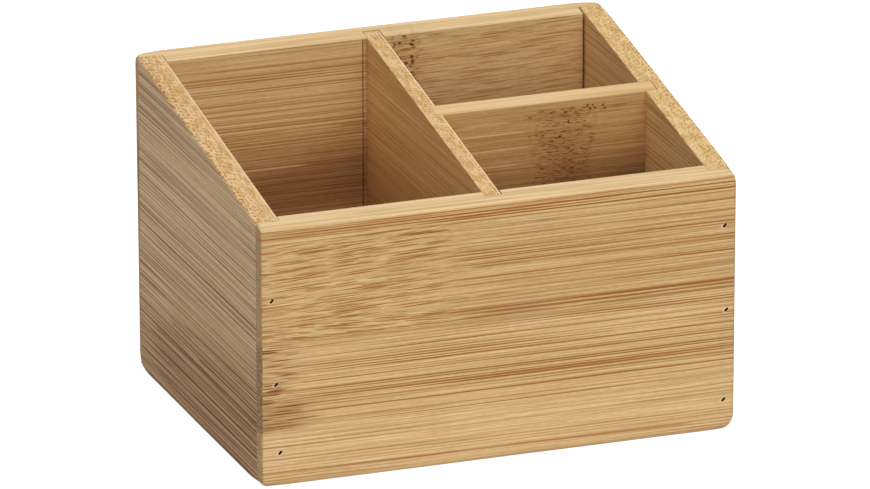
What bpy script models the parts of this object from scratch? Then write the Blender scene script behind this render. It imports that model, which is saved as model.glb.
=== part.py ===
"""Sloped bamboo storage box: seven glued boards, three open compartments and twelve brads.

Metres, +Z up. The origin is the middle of the footprint, on the surface that the box stands on.
The front panel faces -Y, and +X runs along it to the right. The front and back panels run the full
width, and the side panels end in rabbets of those two. The dividers end in grooves, the bottom panel
sits in a groove round the inside of the four walls, and one sloped plane cuts all the walls' tops.
"""

import math
from typing import NamedTuple

import bmesh
import bpy
from mathutils import Matrix, Vector

# Overall size
WIDTH = 0.150
DEPTH = 0.115
BACK_HEIGHT = 0.100
FRONT_HEIGHT = 0.0805

# Board thicknesses
FRONT_THICK = 0.0075
BACK_THICK = 0.0075
SIDE_THICK = 0.0075
CENTRE_THICK = 0.0052
CROSS_THICK = 0.0060
BOTTOM_THICK = 0.0040

# Where the inner boards stand: the dividers' middles, and the bottom's underside
CENTRE_PLACE = -0.0005
CROSS_PLACE = 0.0013
BOTTOM_RECESS = 0.0030

# Joinery: how deep each board is cut to take its neighbour, and the room left in every joint
FRONT_JOINT_DEPTH = 0.0030
BACK_JOINT_DEPTH = 0.0044
SIDE_GROOVE_DEPTH = 0.0037
CENTRE_GROOVE_DEPTH = 0.0018
BOTTOM_GROOVE_DEPTH = 0.0035
JOINT_GAP = 0.0003
CUT_OVERRUN = 0.004

# Sanded edges
CORNER_RADIUS = 0.0022
EDGE_RADIUS = 0.0010
UPRIGHT_RADIUS = 0.0005
ARRIS_RADIUS = 0.0003
EDGE_SEGMENTS = 4

# Brads: flat wire, driven through the front and back panels into the side panels' ends
BRAD_LENGTH = 0.018
BRAD_WIDTH = 0.0012
BRAD_THICK = 0.0006
BRAD_POINT = 0.0020
BRAD_SET = 0.0006
BRAD_GAP = 0.0002
BRAD_TURN = math.radians(45)
BRAD_POINT_SHARE = 0.3

# Each brad as shares: of the side panel's thickness in from the corner, and of the height that the
# panel has above the bottom
FRONT_LEFT_BRAD_SHARES = ((0.765, 0.046), (0.605, 0.338), (0.443, 0.696))
FRONT_RIGHT_BRAD_SHARES = ((0.484, 0.034), (0.384, 0.422), (0.477, 0.785))
BACK_LEFT_BRAD_SHARES = ((0.56, 0.05), (0.45, 0.42), (0.52, 0.77))
BACK_RIGHT_BRAD_SHARES = ((0.50, 0.04), (0.60, 0.38), (0.44, 0.74))

# Finishes: linear colour, roughness and metallic
LONG_GRAIN = (0.565, 0.370, 0.178)
END_GRAIN_TOPS = (0.610, 0.410, 0.200)
INNER_BOARDS = (0.520, 0.325, 0.150)
BOTTOM_GRAIN = (0.480, 0.300, 0.140)
BRAD_STEEL = (0.230, 0.210, 0.190)
BAMBOO_ROUGHNESS = 0.55
STEEL_ROUGHNESS = 0.40

# Edges of a board, each named by the two faces that meet there
FRONT_TOP = (0, -1, 1)
FRONT_BOTTOM = (0, -1, -1)
BACK_TOP = (0, 1, 1)
BACK_BOTTOM = (0, 1, -1)
LEFT_TOP = (-1, 0, 1)
LEFT_BOTTOM = (-1, 0, -1)
RIGHT_TOP = (1, 0, 1)
RIGHT_BOTTOM = (1, 0, -1)
FRONT_LEFT = (-1, -1, 0)
FRONT_RIGHT = (1, -1, 0)
BACK_LEFT = (-1, 1, 0)
BACK_RIGHT = (1, 1, 0)

# Faces of the boards and ends of the cuts, worked out from the sizes above
HALF_WIDTH = WIDTH / 2
HALF_DEPTH = DEPTH / 2
FRONT_INNER = FRONT_THICK - HALF_DEPTH
BACK_INNER = HALF_DEPTH - BACK_THICK
LEFT_INNER = SIDE_THICK - HALF_WIDTH
RIGHT_INNER = HALF_WIDTH - SIDE_THICK
FRONT_SEAT = FRONT_INNER - FRONT_JOINT_DEPTH
BACK_SEAT = BACK_INNER + BACK_JOINT_DEPTH
BOTTOM_TOP = BOTTOM_RECESS + BOTTOM_THICK
CUT_TOP = max(FRONT_HEIGHT, BACK_HEIGHT) + CUT_OVERRUN


class Block(NamedTuple):
    """The space between two opposite corners of a box."""

    x_low: float
    x_high: float
    y_low: float
    y_high: float
    z_low: float
    z_high: float

    def middle(self):
        """The block's centre point."""
        low = Vector((self.x_low, self.y_low, self.z_low))
        high = Vector((self.x_high, self.y_high, self.z_high))
        return (low + high) / 2

    def size(self):
        """The block's length along each axis."""
        return Vector((self.x_high - self.x_low, self.y_high - self.y_low, self.z_high - self.z_low))

    def grown(self, gap):
        """The block with room added on all six sides."""
        return Block(
            self.x_low - gap,
            self.x_high + gap,
            self.y_low - gap,
            self.y_high + gap,
            self.z_low - gap,
            self.z_high + gap,
        )

    def open_above(self):
        """The block reaching past the top of the box."""
        return self._replace(z_high=CUT_TOP)

    def open_ended(self):
        """The block reaching past both of its ends along Y."""
        return self._replace(y_low=self.y_low - CUT_OVERRUN, y_high=self.y_high + CUT_OVERRUN)


def top_height(y):
    """Height of the sloped plane that cuts the tops of the walls and dividers, at a place along Y."""
    return FRONT_HEIGHT + (BACK_HEIGHT - FRONT_HEIGHT) * (y + HALF_DEPTH) / DEPTH


def finish(name, colour, roughness=BAMBOO_ROUGHNESS, metallic=0.0):
    """A Principled material with one colour."""
    material = bpy.data.materials.new(name)
    material.use_nodes = True
    shader = material.node_tree.nodes["Principled BSDF"]
    shader.inputs["Base Color"].default_value = (*colour, 1.0)
    shader.inputs["Roughness"].default_value = roughness
    shader.inputs["Metallic"].default_value = metallic
    material.diffuse_color = (*colour, 1.0)
    return material


def block_mesh(name, block, sloped=False):
    """A mesh about its own centre that fills the block, with its top on the sloped plane if sloped."""
    middle = block.middle()
    shape = bmesh.new()
    bmesh.ops.create_cube(shape, size=1.0, matrix=Matrix.Diagonal((*block.size(), 1.0)))
    for vert in shape.verts:
        if sloped and vert.co.z > 0:
            vert.co.z = top_height(middle.y + vert.co.y) - middle.z
    mesh = bpy.data.meshes.new(name)
    shape.to_mesh(mesh)
    shape.free()
    return mesh


def add_object(name, mesh, location, parent):
    """Links a new object that carries the mesh."""
    item = bpy.data.objects.new(name, mesh)
    item.location = location
    item.parent = parent
    bpy.context.scene.collection.objects.link(item)
    return item


def edge_name(edge):
    """The pair of faces that meet at a board's edge, as signs along X, Y and Z."""
    middle = sum((vert.co for vert in edge.verts), Vector()) / 2
    run = edge.verts[1].co - edge.verts[0].co
    along = max(range(3), key=lambda axis: abs(run[axis]))
    return tuple(0 if axis == along else int(math.copysign(1, middle[axis])) for axis in range(3))


def ease_edges(board, radii):
    """Rounds the named edges of a board, each by its own radius, with one weighted Bevel."""
    largest = max(radii.values())
    shape = bmesh.new()
    shape.from_mesh(board.data)
    weights = shape.edges.layers.float.new("bevel_weight_edge")
    for edge in shape.edges:
        edge[weights] = radii.get(edge_name(edge), 0.0) / largest
    shape.to_mesh(board.data)
    shape.free()
    bevel = board.modifiers.new("eased edges", "BEVEL")
    bevel.limit_method = "WEIGHT"
    bevel.offset_type = "OFFSET"
    bevel.width = largest
    bevel.segments = EDGE_SEGMENTS


def add_board(name, block, colour, parent, sloped=True):
    """A square-edged board in its own bamboo finish."""
    mesh = block_mesh(name, block, sloped)
    mesh.materials.append(finish(name + "_bamboo", colour))
    return add_object(name, mesh, block.middle(), parent)


def add_cutter(name, block, parent):
    """A hidden block that boards are cut with."""
    cutter = add_object(name, block_mesh(name, block), block.middle(), parent)
    cutter.hide_render = True
    cutter.display_type = "WIRE"
    return cutter


def cut(board, cutters):
    """Takes all the cutters out of the board with one Boolean."""
    group = bpy.data.collections.new(board.name + "_cuts")
    for cutter in cutters:
        group.objects.link(cutter)
    boolean = board.modifiers.new("joints and brad holes", "BOOLEAN")
    boolean.operation = "DIFFERENCE"
    boolean.solver = "EXACT"
    boolean.operand_type = "COLLECTION"
    boolean.collection = group


def wall_block(y_low, y_high, height):
    """A full-width wall, the front panel or the back panel."""
    return Block(-HALF_WIDTH, HALF_WIDTH, y_low, y_high, 0, height)


def side_panel_block(x_low, x_high):
    """A side panel, from the front panel's rabbet to the back panel's."""
    return Block(x_low, x_high, FRONT_SEAT + JOINT_GAP, BACK_SEAT - JOINT_GAP, 0, BACK_HEIGHT)


def centre_divider_block():
    """The long divider, from the front panel's groove to the back panel's, standing on the bottom."""
    return Block(
        CENTRE_PLACE - CENTRE_THICK / 2,
        CENTRE_PLACE + CENTRE_THICK / 2,
        FRONT_SEAT + JOINT_GAP,
        BACK_SEAT - JOINT_GAP,
        BOTTOM_TOP + JOINT_GAP,
        BACK_HEIGHT,
    )


def cross_divider_block():
    """The short divider, from the centre divider's groove to the right side panel's."""
    centre_face = CENTRE_PLACE + CENTRE_THICK / 2
    return Block(
        centre_face - CENTRE_GROOVE_DEPTH + JOINT_GAP,
        RIGHT_INNER + SIDE_GROOVE_DEPTH - JOINT_GAP,
        CROSS_PLACE - CROSS_THICK / 2,
        CROSS_PLACE + CROSS_THICK / 2,
        BOTTOM_TOP + JOINT_GAP,
        BACK_HEIGHT,
    )


def bottom_panel_block():
    """The bottom, let into the four walls and raised off the surface below."""
    reach = BOTTOM_GROOVE_DEPTH - JOINT_GAP
    return Block(
        LEFT_INNER - reach,
        RIGHT_INNER + reach,
        FRONT_INNER - reach,
        BACK_INNER + reach,
        BOTTOM_RECESS,
        BOTTOM_TOP,
    )


def rabbet_block(side_inner, seat, wall_inner):
    """The corner cut out of a front or back panel for a side panel's end, open to both faces."""
    x_ends = (
        side_inner - math.copysign(JOINT_GAP, side_inner),
        math.copysign(HALF_WIDTH + CUT_OVERRUN, side_inner),
    )
    y_ends = (seat, wall_inner - math.copysign(CUT_OVERRUN, seat))
    return Block(min(x_ends), max(x_ends), min(y_ends), max(y_ends), -CUT_OVERRUN, CUT_TOP)


def wall_radii(outer_top, outer_bottom, outer_left, outer_right, inner_top):
    """Edge radii of a full-width wall: round corners, soft long edges, crisp uprights."""
    return {
        outer_top: EDGE_RADIUS,
        outer_bottom: EDGE_RADIUS,
        outer_left: UPRIGHT_RADIUS,
        outer_right: UPRIGHT_RADIUS,
        inner_top: ARRIS_RADIUS,
        LEFT_TOP: CORNER_RADIUS,
        RIGHT_TOP: CORNER_RADIUS,
        LEFT_BOTTOM: CORNER_RADIUS,
        RIGHT_BOTTOM: CORNER_RADIUS,
    }


def side_radii(outer_top, outer_bottom, inner_top):
    """Edge radii of a side panel: soft outside, a fine arris inside."""
    return {outer_top: EDGE_RADIUS, outer_bottom: EDGE_RADIUS, inner_top: ARRIS_RADIUS}


def divider_radii(one_top, other_top):
    """Edge radii of a divider: a fine arris along both sides of its top."""
    return {one_top: ARRIS_RADIUS, other_top: ARRIS_RADIUS}


def brad_mesh():
    """A headless flat brad along Y, with its driven end at the origin and a chisel point at +Y."""
    shank = BRAD_LENGTH - BRAD_POINT
    placed = Matrix.Translation((0, shank / 2, 0)) @ Matrix.Diagonal((BRAD_WIDTH, shank, BRAD_THICK, 1.0))
    shape = bmesh.new()
    bmesh.ops.create_cube(shape, size=1.0, matrix=placed)
    far_face = max(shape.faces, key=lambda face: face.calc_center_median().y)
    extruded = bmesh.ops.extrude_face_region(shape, geom=[far_face])["geom"]
    bmesh.ops.delete(shape, geom=[far_face], context="FACES_ONLY")
    for vert in extruded:
        if isinstance(vert, bmesh.types.BMVert):
            vert.co.x *= BRAD_POINT_SHARE
            vert.co.y += BRAD_POINT
    bmesh.ops.recalc_face_normals(shape, faces=shape.faces)
    mesh = bpy.data.meshes.new("brad")
    shape.to_mesh(mesh)
    shape.free()
    mesh.materials.append(finish("brad_steel", BRAD_STEEL, STEEL_ROUGHNESS, 1.0))
    return mesh


def brad_hole_block():
    """The room that a brad takes in the boards, from outside the panel's face to past its point."""
    across = BRAD_WIDTH / 2 + BRAD_GAP
    through = BRAD_THICK / 2 + BRAD_GAP
    return Block(-across, across, -BRAD_SET - CUT_OVERRUN, BRAD_LENGTH + BRAD_GAP, -through, through)


def add_brads(name, mesh, shares, side_inner, face_y, height, parent):
    """A column of brads down one corner. Returns the cutters that make their holes."""
    corner = Vector((math.copysign(HALF_WIDTH, side_inner), face_y, BOTTOM_TOP))
    facing = 0 if face_y < 0 else math.pi
    holes = []
    for number, (inset_share, height_share) in enumerate(shares, start=1):
        inset = math.copysign(SIDE_THICK, side_inner) * inset_share
        rise = (height - BOTTOM_TOP) * height_share
        place = corner + Vector((-inset, -math.copysign(BRAD_SET, face_y), rise))
        brad = add_object(f"{name}_{number}", mesh, place, parent)
        brad.rotation_euler = (0, BRAD_TURN, facing)
        holes.append(add_cutter(f"{name}_{number}_hole", brad_hole_block(), brad))
    return holes


def build():
    """Builds every board and brad under one empty."""
    for item in list(bpy.data.objects):
        bpy.data.objects.remove(item)
    box = add_object("storage_box", None, (0, 0, 0), None)

    front_block = wall_block(-HALF_DEPTH, FRONT_INNER, FRONT_HEIGHT)
    back_block = wall_block(BACK_INNER, HALF_DEPTH, BACK_HEIGHT)
    left_block = side_panel_block(-HALF_WIDTH, LEFT_INNER)
    right_block = side_panel_block(RIGHT_INNER, HALF_WIDTH)
    front_panel = add_board("front_panel", front_block, LONG_GRAIN, box)
    back_panel = add_board("back_panel", back_block, LONG_GRAIN, box)
    left_side = add_board("left_side_panel", left_block, END_GRAIN_TOPS, box)
    right_side = add_board("right_side_panel", right_block, END_GRAIN_TOPS, box)
    centre_divider = add_board("centre_divider", centre_divider_block(), INNER_BOARDS, box)
    cross_divider = add_board("cross_divider", cross_divider_block(), INNER_BOARDS, box)
    add_board("bottom_panel", bottom_panel_block(), BOTTOM_GRAIN, box, sloped=False)

    ease_edges(front_panel, wall_radii(FRONT_TOP, FRONT_BOTTOM, FRONT_LEFT, FRONT_RIGHT, BACK_TOP))
    ease_edges(back_panel, wall_radii(BACK_TOP, BACK_BOTTOM, BACK_LEFT, BACK_RIGHT, FRONT_TOP))
    ease_edges(left_side, side_radii(LEFT_TOP, LEFT_BOTTOM, RIGHT_TOP))
    ease_edges(right_side, side_radii(RIGHT_TOP, RIGHT_BOTTOM, LEFT_TOP))
    ease_edges(centre_divider, divider_radii(LEFT_TOP, RIGHT_TOP))
    ease_edges(cross_divider, divider_radii(FRONT_TOP, BACK_TOP))

    front_left_rabbet, front_right_rabbet, back_left_rabbet, back_right_rabbet = (
        add_cutter(name, rabbet_block(side_inner, seat, wall_inner), box)
        for name, side_inner, seat, wall_inner in (
            ("front_left_rabbet", LEFT_INNER, FRONT_SEAT, FRONT_INNER),
            ("front_right_rabbet", RIGHT_INNER, FRONT_SEAT, FRONT_INNER),
            ("back_left_rabbet", LEFT_INNER, BACK_SEAT, BACK_INNER),
            ("back_right_rabbet", RIGHT_INNER, BACK_SEAT, BACK_INNER),
        )
    )
    centre_room = centre_divider_block().grown(JOINT_GAP)
    cross_room = cross_divider_block().grown(JOINT_GAP)
    bottom_room = bottom_panel_block().grown(JOINT_GAP)
    centre_groove = add_cutter("centre_groove", centre_room.open_above(), box)
    cross_groove = add_cutter("cross_groove", cross_room.open_above(), box)
    wall_groove = add_cutter("bottom_groove_in_walls", bottom_room, box)
    side_groove = add_cutter("bottom_groove_in_sides", bottom_room.open_ended(), box)

    steel = brad_mesh()
    columns = (
        ("front_left_brad", FRONT_LEFT_BRAD_SHARES, LEFT_INNER, -HALF_DEPTH, FRONT_HEIGHT),
        ("front_right_brad", FRONT_RIGHT_BRAD_SHARES, RIGHT_INNER, -HALF_DEPTH, FRONT_HEIGHT),
        ("back_left_brad", BACK_LEFT_BRAD_SHARES, LEFT_INNER, HALF_DEPTH, BACK_HEIGHT),
        ("back_right_brad", BACK_RIGHT_BRAD_SHARES, RIGHT_INNER, HALF_DEPTH, BACK_HEIGHT),
    )
    front_left, front_right, back_left, back_right = (
        add_brads(name, steel, shares, side_inner, face_y, height, box)
        for name, shares, side_inner, face_y, height in columns
    )

    front_cuts = [front_left_rabbet, front_right_rabbet, centre_groove, wall_groove]
    back_cuts = [back_left_rabbet, back_right_rabbet, centre_groove, wall_groove]
    cut(front_panel, front_cuts + front_left + front_right)
    cut(back_panel, back_cuts + back_left + back_right)
    cut(left_side, [side_groove] + front_left + back_left)
    cut(right_side, [side_groove, cross_groove] + front_right + back_right)
    cut(centre_divider, [cross_groove])


build()
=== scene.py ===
"""Finished look of a sloped bamboo storage box: boards with their joints, brads, stage and camera.

Metres, +Z up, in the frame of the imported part: the front panel faces -Y, and the box stands on z = 0.
Each board is a rounded profile carried along it and cut for its joints. Its bamboo is one pattern
through the whole board, drawn out along the fibres, so that its faces, edges and ends agree. Inside
the finishes, places and sizes are in millimetres, and strengths and shares go from 0 to 1.
"""

from __future__ import annotations

import logging
import math
from collections.abc import Callable
from dataclasses import dataclass, replace
from enum import Enum

import bpy
import numpy as np
from mathutils import Matrix, Vector


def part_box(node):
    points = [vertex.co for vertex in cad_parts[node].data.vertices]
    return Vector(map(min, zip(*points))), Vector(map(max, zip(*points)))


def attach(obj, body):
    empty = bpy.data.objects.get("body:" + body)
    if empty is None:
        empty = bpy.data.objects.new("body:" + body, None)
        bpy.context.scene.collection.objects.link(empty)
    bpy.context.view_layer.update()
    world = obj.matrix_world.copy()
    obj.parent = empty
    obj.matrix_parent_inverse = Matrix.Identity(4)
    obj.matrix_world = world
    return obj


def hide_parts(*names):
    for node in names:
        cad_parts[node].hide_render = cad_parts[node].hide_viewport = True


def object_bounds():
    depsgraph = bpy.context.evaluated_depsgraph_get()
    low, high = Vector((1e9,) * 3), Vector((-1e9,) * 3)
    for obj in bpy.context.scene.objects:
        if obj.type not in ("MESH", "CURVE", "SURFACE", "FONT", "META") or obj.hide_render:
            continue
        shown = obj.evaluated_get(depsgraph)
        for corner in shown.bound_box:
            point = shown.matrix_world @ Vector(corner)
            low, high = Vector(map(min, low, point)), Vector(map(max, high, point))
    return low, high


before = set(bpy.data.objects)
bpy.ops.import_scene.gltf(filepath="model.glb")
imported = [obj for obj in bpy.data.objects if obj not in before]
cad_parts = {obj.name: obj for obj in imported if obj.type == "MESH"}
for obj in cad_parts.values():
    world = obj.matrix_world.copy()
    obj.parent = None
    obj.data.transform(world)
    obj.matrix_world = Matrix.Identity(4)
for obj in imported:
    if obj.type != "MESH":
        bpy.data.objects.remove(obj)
CAD_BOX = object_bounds()
LOG = logging.getLogger("storage_box")

MM = 0.001
FRONT_HEIGHT = 0.0805
BACK_HEIGHT = 0.100
SLOPE = (BACK_HEIGHT - FRONT_HEIGHT) / (CAD_BOX[1].y - CAD_BOX[0].y)
ARC_STEPS = 7
WALL_STEPS, UPRIGHT_STEPS, CROSSING_STEPS = 51, 91, 41
GROWING_REACH = 0.009
SOFT_EDGE = 0.0003
SQUARE_EDGE = 0.00008
WEAR = 0.2
BODY = "root"

Pair = tuple[float, float]
Triple = tuple[float, float, float]
Colour = Triple
STRAIGHT: Pair = (0.0, 0.0)

# Millimetres: past either end of every board along its grain, and past its last strip.
FAR = 90
TOP = 101
USUAL_SHADE = 0.565

WHITE: Colour = (255, 255, 255)
BLACK: Colour = (0, 0, 0)
NODE_DASH: Colour = (128, 74, 30)
NODE_SPOT: Colour = (112, 66, 30)
PIT: Colour = (76, 12, 0)
# Painted shade inside each brad hole.
BRAD_HOLE_SHADE: Colour = (70, 8, 0)
CRUSHED: Colour = (238, 212, 168)
END_GROUND: Colour = (176, 142, 110)
END_SHADE: Colour = (150, 110, 78)
END_DOT: Colour = (96, 60, 34)
RIM_DOT: Colour = (140, 88, 30)
WARM_RIM_DOT: Colour = (174, 108, 38)
# A pale line along a rim's inner arris, partly wear and partly a painted highlight.
WORN_RIM_AND_HIGHLIGHT: Colour = (244, 224, 190)


class Carry(Enum):
    """The axis that a profile is carried along, with the axes of the profile's own two coordinates."""

    ALONG_X = (1, 2, 0)
    ALONG_Y = (2, 0, 1)


class Grain(Enum):
    """Which axes a board's fibres run along, across and through, as places in (x, y, z)."""

    FROM_SIDE_TO_SIDE = (0, 2, 1)
    FROM_FRONT_TO_BACK = (1, 2, 0)
    LYING_FLAT = (0, 1, 2)


class Face(Enum):
    """The front or the back of the box, by the word that its nodes' names start with."""

    FRONT = "front"
    BACK = "back"

    def outer_y(self) -> float:
        """Where along y its outer face is."""
        return CAD_BOX[0].y if self is Face.FRONT else CAD_BOX[1].y


@dataclass(frozen=True)
class Box:
    """A straight-sided space between two corners. Metres."""

    low: Triple
    high: Triple

    @classmethod
    def of_node(cls, node: str) -> Box:
        """The space that a CAD node takes."""
        low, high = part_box(node)
        return cls(tuple(low), tuple(high))

    def spanning(self, axis: int, low: float, high: float) -> Box:
        """The same space with other ends along one axis.

        Args:
            axis: 0 for x, 1 for y, 2 for z.
            low: The new lower end.
            high: The new upper end.

        Returns:
            The changed space.
        """
        lows, highs = list(self.low), list(self.high)
        lows[axis], highs[axis] = low, high
        return Box(tuple(lows), tuple(highs))


def brads(face: Face, side: str = "") -> dict[str, Vector]:
    """The middles of the brads in the front or the back, all of them or those of one side, by node."""
    start = f"{face.value}_{side}"
    names = sorted(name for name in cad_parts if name.startswith(start) and "_brad_" in name)
    return {name: sum(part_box(name), Vector()) / 2 for name in names}


def top_height(y: np.ndarray | float) -> np.ndarray | float:
    """Height of the sloped rim: a straight line from the front's height to the back's."""
    return FRONT_HEIGHT + SLOPE * (y - CAD_BOX[0].y)


def linear(colour: Colour) -> tuple[float, float, float, float]:
    """The linear colour of a screen colour from 0 to 255: below a small value a line, above it a power."""
    screen = np.clip(np.array(colour) / 255.0, 0.0, 1.0)
    light = np.where(screen <= 0.04045, screen / 12.92, ((screen + 0.055) / 1.055) ** 2.4)
    return (*(float(part) for part in light), 1.0)


def shifted(colour: Colour, red: float, green: float, blue: float) -> Colour:
    """A colour with something added to each of its parts."""
    return (colour[0] + red, colour[1] + green, colour[2] + blue)


def wander(along: np.ndarray, seed: int) -> np.ndarray:
    """A slow, even wander between about -1 and 1: three sines of rising pitch with seeded phases."""
    phases = np.random.default_rng(seed).uniform(0, 2 * np.pi, 3)
    waves = np.sin(np.multiply.outer(along, np.array((60.0, 130.0, 310.0))) + phases)
    return waves @ np.array((0.5, 0.3, 0.2))


def eased(distance: np.ndarray, radius: float) -> np.ndarray:
    """How far a quarter round has fallen at a distance from its end: radius less the arc's height there."""
    left = radius - np.clip(distance, 0.0, radius)
    return radius - np.sqrt(np.maximum(radius**2 - left**2, 0.0))


def growing(place: np.ndarray, usual: np.ndarray, ends: Pair) -> np.ndarray:
    """A radius that changes towards both ends of its edge, by the square of how near the end is.

    Args:
        place: Places along the edge, rising.
        usual: The radius away from the ends.
        ends: The radius at the low and the high end.

    Returns:
        The radius at each place.
    """
    low = np.clip(1 - (place - place[0]) / GROWING_REACH, 0.0, 1.0) ** 2
    high = np.clip(1 - (place[-1] - place) / GROWING_REACH, 0.0, 1.0) ** 2
    return usual + (ends[0] - usual) * low + (ends[1] - usual) * high


def unit(vectors: np.ndarray) -> np.ndarray:
    """Vectors divided by their lengths."""
    return vectors / np.linalg.norm(vectors, axis=-1, keepdims=True)


def rounded(corners: list[tuple[np.ndarray, np.ndarray]], radii: list[np.ndarray]) -> np.ndarray:
    """Rounds the corners of a profile at every station.

    The centre of each arc lies on the line that halves the corner, at the radius divided by the sine of
    half the corner's angle. The arc's points turn evenly from one tangent point to the other.

    Args:
        corners: Each corner's two coordinates at the stations, anticlockwise.
        radii: Each corner's radius at the stations.

    Returns:
        The profile's points, as (stations, corners * (ARC_STEPS + 1), 2).
    """
    place = np.stack([np.stack(corner, axis=-1) for corner in corners], axis=1)
    radius = np.stack(radii, axis=1)[..., None]
    ways = [unit(np.roll(place, step, axis=1) - place) for step in (1, -1)]
    half = np.arccos(np.clip((ways[0] * ways[1]).sum(-1, keepdims=True), -1.0, 1.0)) / 2
    centre = place + unit(ways[0] + ways[1]) * (radius / np.sin(half))
    start, stop = (unit(place + way * (radius / np.tan(half)) - centre)[:, :, None] for way in ways)
    sweep = (np.pi - 2 * half)[:, :, None]
    share = np.linspace(0.0, 1.0, ARC_STEPS + 1)[None, None, :, None]
    turned = (np.sin((1 - share) * sweep) * start + np.sin(share * sweep) * stop) / np.sin(sweep)
    points = centre[:, :, None] + turned * radius[:, :, None]
    return points.reshape(len(place), -1, 2)


def placed(name: str, data: bpy.types.ID) -> bpy.types.Object:
    """A new object in the scene, at the origin."""
    piece = bpy.data.objects.new(name, data)
    bpy.context.scene.collection.objects.link(piece)
    return piece


def carried(
    name: str, rings: np.ndarray, stations: np.ndarray, carry: Carry, smooth: np.ndarray | None = None
) -> bpy.types.Object:
    """A closed piece made of one profile carried along an axis.

    Point (i, j) of the surface is point j of the profile at station i, with the station as its third
    coordinate. Each four neighbours make a face, and the first and last profiles are the ends.

    Args:
        name: The piece's name.
        rings: The profile at each station, anticlockwise, as (stations, points, 2).
        stations: Where each profile stands, rising.
        carry: The axis that it is carried along.
        smooth: Which faces are shaded smooth, as (stations - 1, points). Without it, none is.

    Returns:
        The new object, at the origin.
    """
    count, points = rings.shape[:2]
    places = np.zeros((count, points, 3))
    first, second, third = carry.value
    places[..., (first, second)] = rings
    places[..., third] = stations[:, None]
    row, column = np.meshgrid(np.arange(count - 1), np.arange(points), indexing="ij")
    after = (column + 1) % points
    low, high = row * points, (row + 1) * points
    faces = np.stack((low + column, low + after, high + after, high + column), axis=-1)
    ends = [list(range(points - 1, -1, -1)), list(range((count - 1) * points, count * points))]
    mesh = bpy.data.meshes.new(name)
    mesh.from_pydata(places.reshape(-1, 3).tolist(), [], faces.reshape(-1, 4).tolist() + ends)
    if smooth is not None:
        mesh.polygons.foreach_set("use_smooth", np.append(smooth.reshape(-1), (False, False)))
    mesh.update()
    return placed(name, mesh)


def on_arcs(stations: np.ndarray, bends: tuple[Pair, ...]) -> np.ndarray:
    """Marks the faces on the arcs of a rounded profile, and those of its sides where a side itself bends.

    Args:
        stations: Where each profile stands, rising.
        bends: For each side, how far from the low and the high end it bends.

    Returns:
        True for each such face, as (stations - 1, sides * (ARC_STEPS + 1)).
    """
    middle = (stations[1:] + stations[:-1])[:, None] / 2
    low, high = np.array(bends).T
    smooth = np.ones((len(middle), len(bends), ARC_STEPS + 1), dtype=bool)
    smooth[:, :, ARC_STEPS] = (middle < stations[0] + low) | (middle > stations[-1] - high)
    return smooth.reshape(len(middle), -1)


def block(name: str, box: Box) -> bpy.types.Object:
    """A square block that fills a box, for cutting: its profile at both ends is the same rectangle."""
    (x_low, y_low, z_low), (x_high, y_high, z_high) = box.low, box.high
    ring = np.array([(y_low, z_low), (y_high, z_low), (y_high, z_high), (y_low, z_high)])
    return carried(name, np.stack((ring, ring)), np.array((x_low, x_high)), Carry.ALONG_X)


def carve(piece: bpy.types.Object, cutters: list[bpy.types.Object]) -> None:
    """Takes the cutters out of a piece, keeps the result as its mesh and removes the cutters."""
    group = bpy.data.collections.new(piece.name + "_cuts")
    for cutter in cutters:
        group.objects.link(cutter)
    boolean = piece.modifiers.new("joints", "BOOLEAN")
    boolean.operation = "DIFFERENCE"
    boolean.solver = "EXACT"
    boolean.operand_type = "COLLECTION"
    boolean.collection = group
    bpy.context.view_layer.update()
    result = bpy.data.meshes.new_from_object(piece.evaluated_get(bpy.context.evaluated_depsgraph_get()))
    result.name = piece.name
    piece.modifiers.clear()
    piece.data = result
    for cutter in cutters:
        bpy.data.objects.remove(cutter)
    bpy.data.collections.remove(group)


def maths(operation: str, reflected: bool = False) -> Callable[..., Wire]:
    """Makes a method of Wire that adds one Math node.

    Args:
        operation: What the node works out.
        reflected: Whether the wire comes after the other value.

    Returns:
        The method. It takes the other value, where there is one.
    """

    def method(wire: Wire, *others: Wire | float) -> Wire:
        """The result of the node."""
        values = (*others, wire) if reflected else (wire, *others)
        return wire.sheet.node("ShaderNodeMath", {"operation": operation}, dict(enumerate(values)))

    return method


class Wire:
    """One output in a finish. Arithmetic on it adds the nodes that work the result out."""

    def __init__(self, sheet: Sheet, socket: bpy.types.NodeSocket) -> None:
        """Wraps a socket of a sheet's nodes."""
        self.sheet = sheet
        self.socket = socket

    __add__ = __radd__ = maths("ADD")
    __mul__ = __rmul__ = maths("MULTIPLY")
    __sub__ = maths("SUBTRACT")
    __rsub__ = maths("SUBTRACT", reflected=True)
    __truediv__ = maths("DIVIDE")
    __abs__ = maths("ABSOLUTE")
    # 1 where the wire is over the other value and 0 elsewhere, and the larger of the two.
    above = maths("GREATER_THAN")
    largest = maths("MAXIMUM")

    def output(self, which: int | str) -> Wire:
        """Another output of the same node."""
        return Wire(self.sheet, self.socket.node.outputs[which])

    def rise(self, low: float, high: float) -> Wire:
        """A smooth step from 0 at low to 1 at high. With low above high it falls instead."""
        values = {"Value": self, "From Min": low, "From Max": high}
        return self.sheet.node("ShaderNodeMapRange", {"interpolation_type": "SMOOTHSTEP"}, values)

    def hump(self, centre: float, reach: float) -> Wire:
        """A smooth hump: 1 at the centre and 0 from the reach on, on both sides."""
        return abs(self - centre).rise(reach, 0)

    def between(self, low: float, high: float, soft: float) -> Wire:
        """1 between two limits and 0 outside them, with soft ends that start and stop a little outside."""
        return self.rise(low - soft, low + soft) * self.rise(high + soft, high - soft)


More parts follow.
